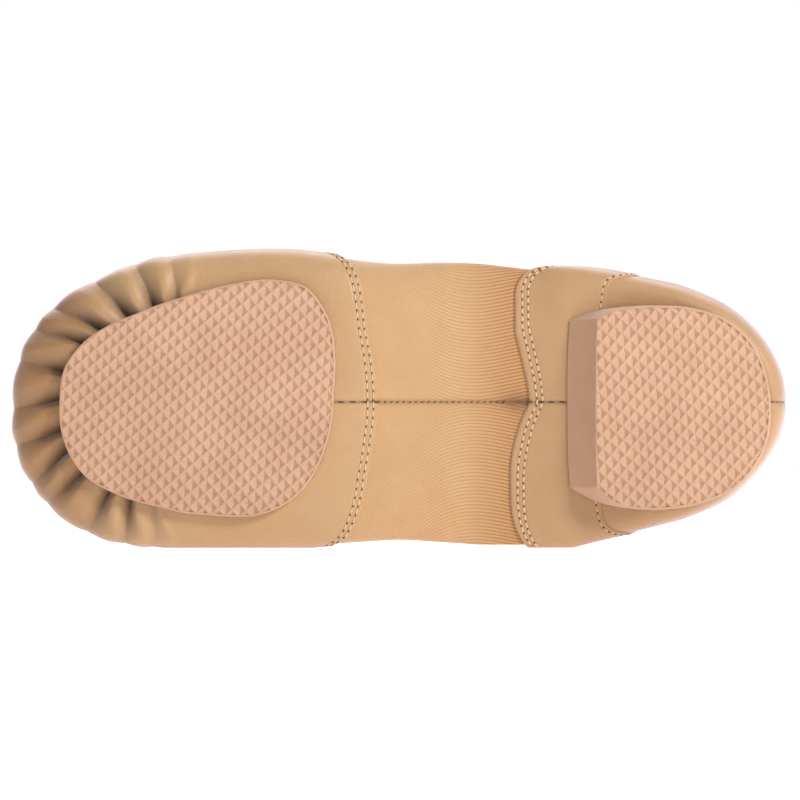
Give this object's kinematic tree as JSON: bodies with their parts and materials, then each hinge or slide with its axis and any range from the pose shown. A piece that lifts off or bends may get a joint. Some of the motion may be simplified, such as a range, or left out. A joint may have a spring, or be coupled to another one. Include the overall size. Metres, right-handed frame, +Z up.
{
  "type": "jazz shoe",
  "caption": "Slip-on jazz dance shoe for the left foot: gathered leather toe, ribbed knit arch, split sole with forefoot pad and low moulded heel, lying on its inner side.",
  "frame": {"origin": "centre of the bounding box at floor level, under the inner side that the shoe lies on", "axes": "+Z up, the outer side of the foot; the toe points to -X and the heel to +X; the tread faces -Y and the collar opens to +Y"},
  "size_m": [0.2402, 0.0622, 0.0924],
  "materials": {
    "upper": "soft tan leather with a satin sheen, and orange-cream ribbed knit at the arch",
    "insole": "plain brushed fabric",
    "forefoot_pad": "pinkish beige rubber with a fine pyramid tread",
    "heel": "pinkish beige moulded rubber with a fine pyramid tread",
    "collar_binding": "folded tan leather tape"
  },
  "bodies": {
    "root": {"upper": "upper", "insole": "insole", "forefoot_pad": "forefoot_pad", "heel": "heel", "collar_binding": "collar_binding"}
  },
  "joints": []
}
